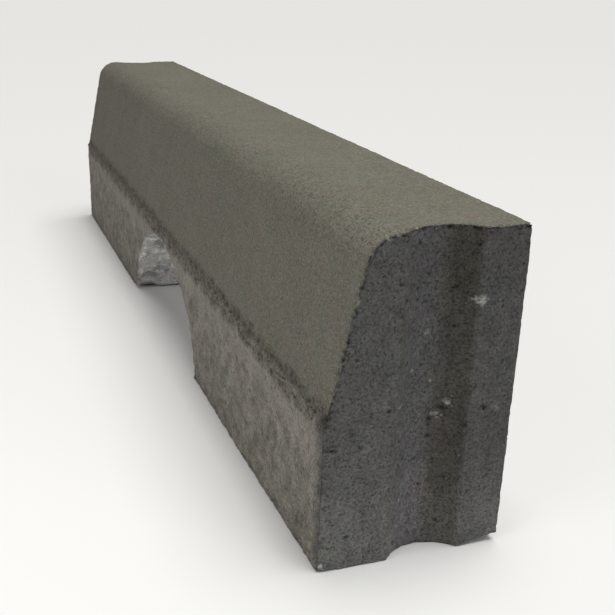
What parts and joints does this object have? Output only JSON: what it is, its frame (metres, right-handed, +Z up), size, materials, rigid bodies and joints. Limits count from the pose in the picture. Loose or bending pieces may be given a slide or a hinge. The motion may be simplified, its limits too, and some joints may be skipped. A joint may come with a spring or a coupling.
{
  "type": "concrete edger",
  "caption": "Precast concrete landscape edging block with a battered front, a rounded nose, a half-round keyway in each end and an arched notch through its foot",
  "frame": {"origin": "centre of the footprint, on the plane that the block stands on", "axes": "+X along the kerb line, towards the end that the notch is nearer to; +Y from the battered front to the flat back; +Z up"},
  "size_m": [0.6, 0.083, 0.14],
  "materials": {
    "core_concrete": "coarse dry-cast concrete, open and crumbly at the edges, with drag marks from the mould",
    "facing_concrete": "fine dry-cast facing concrete with a closed, sandy skin"
  },
  "bodies": {
    "root": {"core_mix": "core_concrete", "facing_mix": "facing_concrete"}
  },
  "joints": []
}
